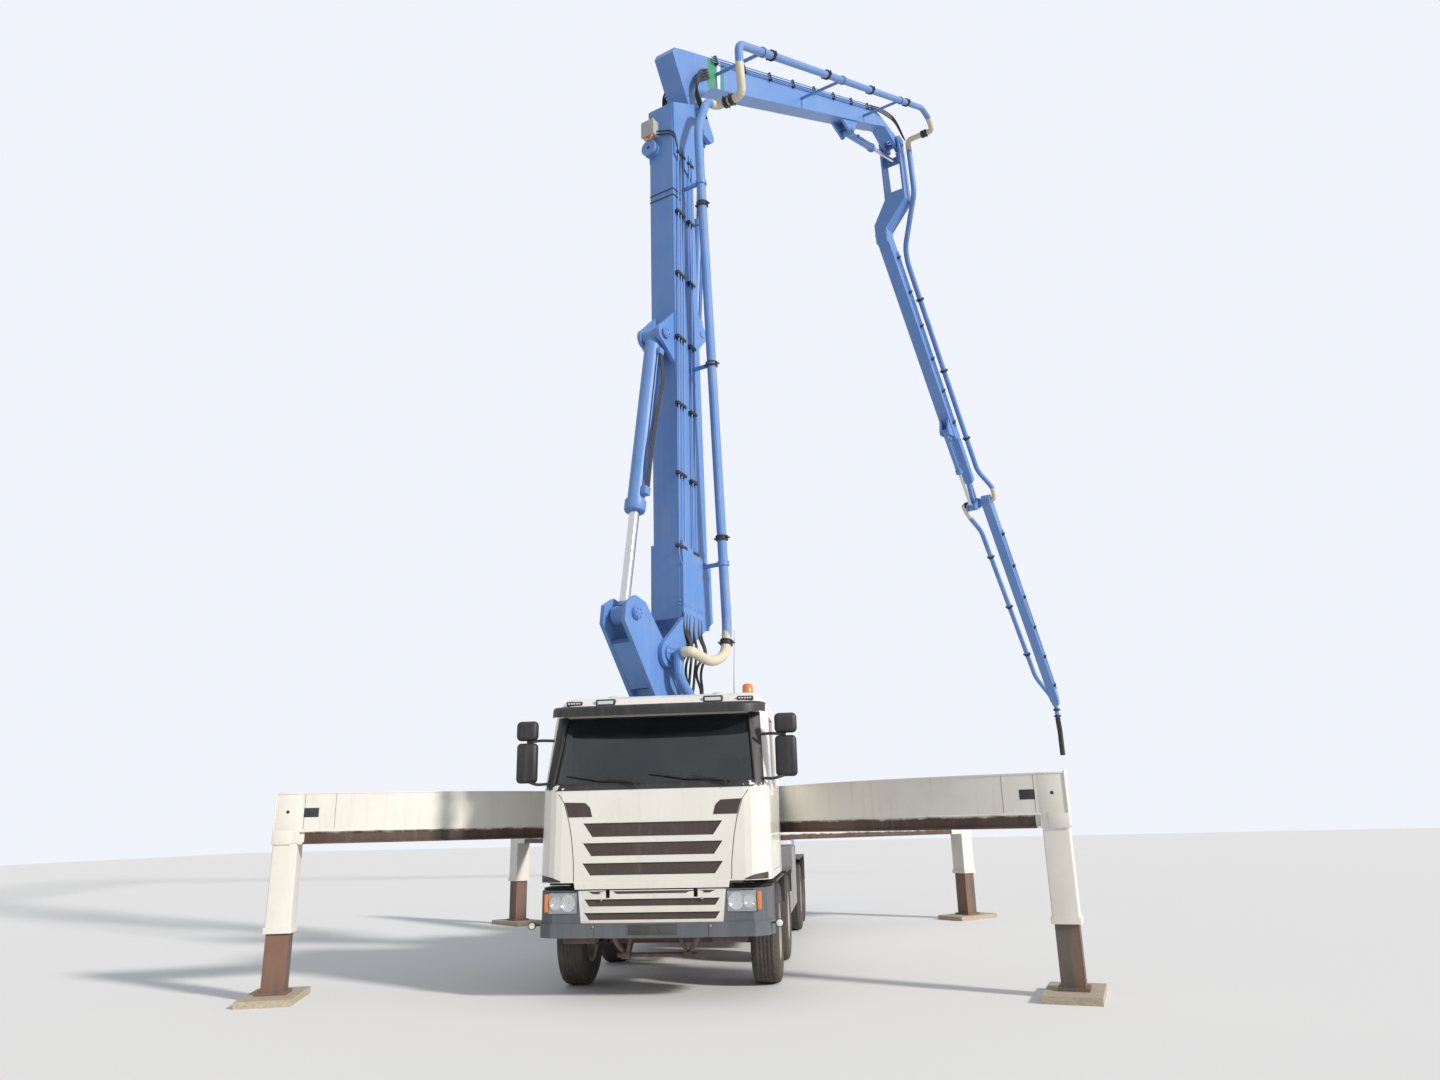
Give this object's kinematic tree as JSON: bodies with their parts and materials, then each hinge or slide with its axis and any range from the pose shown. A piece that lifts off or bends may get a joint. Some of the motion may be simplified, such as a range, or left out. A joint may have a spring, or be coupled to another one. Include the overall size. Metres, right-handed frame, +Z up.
{
  "type": "truck-mounted concrete pump",
  "caption": "Concrete pump truck parked on its outriggers, boom unfolded, with turning wheels, steering, doors, tilting cab, slewing folding boom, outriggers and legs",
  "frame": {"origin": "on the ground under the slewing axis, on the centreline", "axes": "+X the truck's left, +Y towards its rear, +Z up"},
  "size_m": [13.908, 23.1495, 19.2469],
  "materials": {
    "dark_frame": "satin dark grey paint",
    "grey_iron": "machined and painted casting",
    "bumper_grey": "satin slate grey paint",
    "black_plastic": "matt black moulding",
    "cab_white": "gloss warm white paint",
    "beam_white": "worn warm white paint",
    "boom_blue": "satin blue paint",
    "leg_brown": "rusty brown primer",
    "mat_cream": "worn pale boards",
    "glass": "dark tinted glass",
    "cab_inside": "dark trim",
    "tyre": "dusty black rubber",
    "hose": "black rubber",
    "rod_chrome": "polished rod",
    "tank_grey": "grey paint"
  },
  "bodies": {
    "chassis": {"frame_rails": "dark_frame", "engine": "grey_iron", "front_axles": "dark_frame", "rear_axles": "dark_frame", "front_bumper": "bumper_grey", "fenders": "black_plastic", "outrigger_frame": "beam_white", "pump_unit": "boom_blue", "hopper": "boom_blue", "side_tanks": "tank_grey", "spreader_mats": "mat_cream"},
    "cab": {"cab_shell": "cab_white", "cab_glass": "glass", "cab_interior": "cab_inside", "cab_trim": "black_plastic"},
    "left_door": {"door_left": "cab_white", "door_glass_left": "glass"},
    "right_door": {"door_right": "cab_white", "door_glass_right": "glass"},
    "steer_1l": {"knuckle_1l": "dark_frame"},
    "steer_1r": {"knuckle_1r": "dark_frame"},
    "steer_2l": {"knuckle_2l": "dark_frame"},
    "steer_2r": {"knuckle_2r": "dark_frame"},
    "roller_1l": {"wheel_1l": "tyre"},
    "roller_1r": {"wheel_1r": "tyre"},
    "roller_2l": {"wheel_2l": "tyre"},
    "roller_2r": {"wheel_2r": "tyre"},
    "roller_3l": {"wheel_3l": "tyre"},
    "roller_3r": {"wheel_3r": "tyre"},
    "roller_4l": {"wheel_4l": "tyre"},
    "roller_4r": {"wheel_4r": "tyre"},
    "turntable": {"turret": "boom_blue"},
    "section_1": {"boom_1": "boom_blue", "pipe_1": "boom_blue"},
    "section_2": {"boom_2": "boom_blue", "pipe_2": "boom_blue"},
    "section_3": {"boom_3": "boom_blue", "pipe_3": "boom_blue"},
    "section_4": {"boom_4": "boom_blue", "pipe_4": "boom_blue", "end_hose": "hose"},
    "cylinder_1": {"barrel_1": "boom_blue"},
    "piston_1": {"rod_1": "rod_chrome"},
    "cylinder_2": {"barrel_2": "boom_blue"},
    "piston_2": {"rod_2": "rod_chrome"},
    "cylinder_3": {"barrel_3": "boom_blue"},
    "piston_3": {"rod_3": "rod_chrome"},
    "cylinder_4": {"barrel_4": "boom_blue"},
    "piston_4": {"rod_4": "rod_chrome"},
    "front_beam_left": {"beam_front_left": "beam_white"},
    "front_leg_left": {"leg_front_left": "leg_brown"},
    "rear_beam_left": {"beam_rear_left": "beam_white"},
    "rear_leg_left": {"leg_rear_left": "leg_brown"},
    "front_beam_right": {"beam_front_right": "beam_white"},
    "front_leg_right": {"leg_front_right": "leg_brown"},
    "rear_beam_right": {"beam_rear_right": "beam_white"},
    "rear_leg_right": {"leg_rear_right": "leg_brown"}
  },
  "joints": [
    {"name": "cab_tilt", "type": "hinge", "parent": "chassis", "child": "cab", "pos_m": [0, -3.42, 0.9], "axis": [1, 0, 0], "range_deg": [0, 50]},
    {"name": "left_door_hinge", "type": "hinge", "parent": "cab", "child": "left_door", "pos_m": [1.23, -3.085, 2], "axis": [0, 0, -1], "range_deg": [0, 70]},
    {"name": "right_door_hinge", "type": "hinge", "parent": "cab", "child": "right_door", "pos_m": [-1.23, -3.085, 2], "axis": [0, 0, 1], "range_deg": [0, 70]},
    {"name": "steering_1l", "type": "hinge", "parent": "chassis", "child": "steer_1l", "pos_m": [0.79, -2.2, 0.535], "axis": [0, 0, 1], "range_deg": [-35, 35]},
    {"name": "steering_1r", "type": "hinge", "parent": "chassis", "child": "steer_1r", "pos_m": [-0.79, -2.2, 0.535], "axis": [0, 0, 1], "range_deg": [-35, 35]},
    {"name": "steering_2l", "type": "hinge", "parent": "chassis", "child": "steer_2l", "pos_m": [0.79, -0.26, 0.535], "axis": [0, 0, 1], "range_deg": [-20, 20]},
    {"name": "steering_2r", "type": "hinge", "parent": "chassis", "child": "steer_2r", "pos_m": [-0.79, -0.26, 0.535], "axis": [0, 0, 1], "range_deg": [-20, 20]},
    {"name": "wheel_spin_1l", "type": "hinge", "parent": "steer_1l", "child": "roller_1l", "pos_m": [1.07, -2.2, 0.535], "axis": [1, 0, 0], "continuous": true},
    {"name": "wheel_spin_1r", "type": "hinge", "parent": "steer_1r", "child": "roller_1r", "pos_m": [-1.07, -2.2, 0.535], "axis": [1, 0, 0], "continuous": true},
    {"name": "wheel_spin_2l", "type": "hinge", "parent": "steer_2l", "child": "roller_2l", "pos_m": [1.07, -0.26, 0.535], "axis": [1, 0, 0], "continuous": true},
    {"name": "wheel_spin_2r", "type": "hinge", "parent": "steer_2r", "child": "roller_2r", "pos_m": [-1.07, -0.26, 0.535], "axis": [1, 0, 0], "continuous": true},
    {"name": "wheel_spin_3l", "type": "hinge", "parent": "chassis", "child": "roller_3l", "pos_m": [0.915, 3.5, 0.535], "axis": [1, 0, 0], "continuous": true},
    {"name": "wheel_spin_3r", "type": "hinge", "parent": "chassis", "child": "roller_3r", "pos_m": [-0.915, 3.5, 0.535], "axis": [1, 0, 0], "continuous": true},
    {"name": "wheel_spin_4l", "type": "hinge", "parent": "chassis", "child": "roller_4l", "pos_m": [0.915, 4.85, 0.535], "axis": [1, 0, 0], "continuous": true},
    {"name": "wheel_spin_4r", "type": "hinge", "parent": "chassis", "child": "roller_4r", "pos_m": [-0.915, 4.85, 0.535], "axis": [1, 0, 0], "continuous": true},
    {"name": "slew", "type": "hinge", "parent": "chassis", "child": "turntable", "pos_m": [0, 0, 2.35], "axis": [0, 0, 1], "range_deg": [-339, 31]},
    {"name": "boom_1_lift", "type": "hinge", "parent": "turntable", "child": "section_1", "pos_m": [-0.45152, -0.92576, 3.92], "axis": [-0.8988, 0.4384, 0], "range_deg": [-4, 84]},
    {"name": "boom_2_fold", "type": "hinge", "parent": "section_1", "child": "section_2", "pos_m": [-0.00406, -0.00833, 13.24027], "axis": [0.8988, -0.4384, 0], "range_deg": [-30, 54]},
    {"name": "boom_3_fold", "type": "hinge", "parent": "section_2", "child": "section_3", "pos_m": [4.26999, 8.75479, 18.96048], "axis": [0.8988, -0.4384, 0], "range_deg": [-40, 76]},
    {"name": "boom_4_fold", "type": "hinge", "parent": "section_3", "child": "section_4", "pos_m": [6.41675, 14.29686, 10.6214], "axis": [0.8988, -0.4384, 0], "range_deg": [-170, 10]},
    {"name": "cylinder_1_swing", "type": "hinge", "parent": "section_1", "child": "cylinder_1", "pos_m": [-0.43399, -0.88981, 8.74], "axis": [0.8988, -0.4384, 0], "range_deg": [-0.46, 3.57]},
    {"name": "cylinder_1_stroke", "type": "slide", "parent": "cylinder_1", "child": "piston_1", "axis": [-0.0705, -0.1445, -0.987], "range_m": [-0.052, 1.0524]},
    {"name": "cylinder_2_swing", "type": "hinge", "parent": "section_1", "child": "cylinder_2", "pos_m": [0.04356, 0.0893, 9.19842], "axis": [0.8988, -0.4384, 0], "range_deg": [-0.6, 0.84]},
    {"name": "cylinder_2_stroke", "type": "slide", "parent": "cylinder_2", "child": "piston_2", "axis": [0.0363, 0.0744, 0.9966], "range_m": [-0.2182, 0.3911]},
    {"name": "cylinder_3_swing", "type": "hinge", "parent": "section_2", "child": "cylinder_3", "pos_m": [2.97638, 6.10249, 17.46104], "axis": [0.8988, -0.4384, 0], "range_deg": [-1.89, 3.31]},
    {"name": "cylinder_3_stroke", "type": "slide", "parent": "cylinder_3", "child": "piston_3", "axis": [0.4119, 0.8446, 0.3419], "range_m": [-0.2219, 0.4199]},
    {"name": "cylinder_4_swing", "type": "hinge", "parent": "section_3", "child": "cylinder_4", "pos_m": [5.47931, 12.37484, 12.17622], "axis": [0.8988, -0.4384, 0], "range_deg": [-2, 0.4]},
    {"name": "cylinder_4_stroke", "type": "slide", "parent": "cylinder_4", "child": "piston_4", "axis": [0.3081, 0.6318, -0.7113], "range_m": [-0.752, 0.0461]},
    {"name": "front_beam_slide_left", "type": "hinge", "parent": "chassis", "child": "front_beam_left", "pos_m": [5.655, 2.01, 1.865], "axis": [0, 0, 1], "range_deg": [-39.4, 0]},
    {"name": "front_leg_lift_left", "type": "slide", "parent": "front_beam_left", "child": "front_leg_left", "axis": [0, 0, -1], "range_m": [-0.45, 0]},
    {"name": "rear_beam_swing_left", "type": "hinge", "parent": "chassis", "child": "rear_beam_left", "pos_m": [1, 2.3, 1.725], "axis": [0, 0, -1], "range_deg": [-48.2, 0]},
    {"name": "rear_leg_lift_left", "type": "slide", "parent": "rear_beam_left", "child": "rear_leg_left", "axis": [0, 0, -1], "range_m": [-0.45, 0]},
    {"name": "front_beam_slide_right", "type": "hinge", "parent": "chassis", "child": "front_beam_right", "pos_m": [-5.655, 2.01, 1.865], "axis": [0, 0, -1], "range_deg": [-39.4, 0]},
    {"name": "front_leg_lift_right", "type": "slide", "parent": "front_beam_right", "child": "front_leg_right", "axis": [0, 0, -1], "range_m": [-0.45, 0]},
    {"name": "rear_beam_swing_right", "type": "hinge", "parent": "chassis", "child": "rear_beam_right", "pos_m": [-1, 2.3, 1.725], "axis": [0, 0, 1], "range_deg": [-48.2, 0]},
    {"name": "rear_leg_lift_right", "type": "slide", "parent": "rear_beam_right", "child": "rear_leg_right", "axis": [0, 0, -1], "range_m": [-0.45, 0]}
  ],
  "couplings": [
    {"joint": "steering_1r", "follows": "steering_1l", "ratio": 1},
    {"joint": "steering_2l", "follows": "steering_1l", "ratio": 0.57},
    {"joint": "steering_2r", "follows": "steering_1l", "ratio": 0.57},
    {"joint": "cylinder_1_swing", "follows": "boom_1_lift", "ratio": 0.0389},
    {"joint": "cylinder_1_stroke", "follows": "boom_1_lift", "m_per_rad": 0.71645},
    {"joint": "cylinder_2_swing", "follows": "boom_2_fold", "ratio": 0.01004},
    {"joint": "cylinder_2_stroke", "follows": "boom_2_fold", "m_per_rad": 0.41283},
    {"joint": "cylinder_3_swing", "follows": "boom_3_fold", "ratio": 0.03964},
    {"joint": "cylinder_3_stroke", "follows": "boom_3_fold", "m_per_rad": 0.31503},
    {"joint": "cylinder_4_swing", "follows": "boom_4_fold", "ratio": 0.01},
    {"joint": "cylinder_4_stroke", "follows": "boom_4_fold", "m_per_rad": 0.25278}
  ]
}
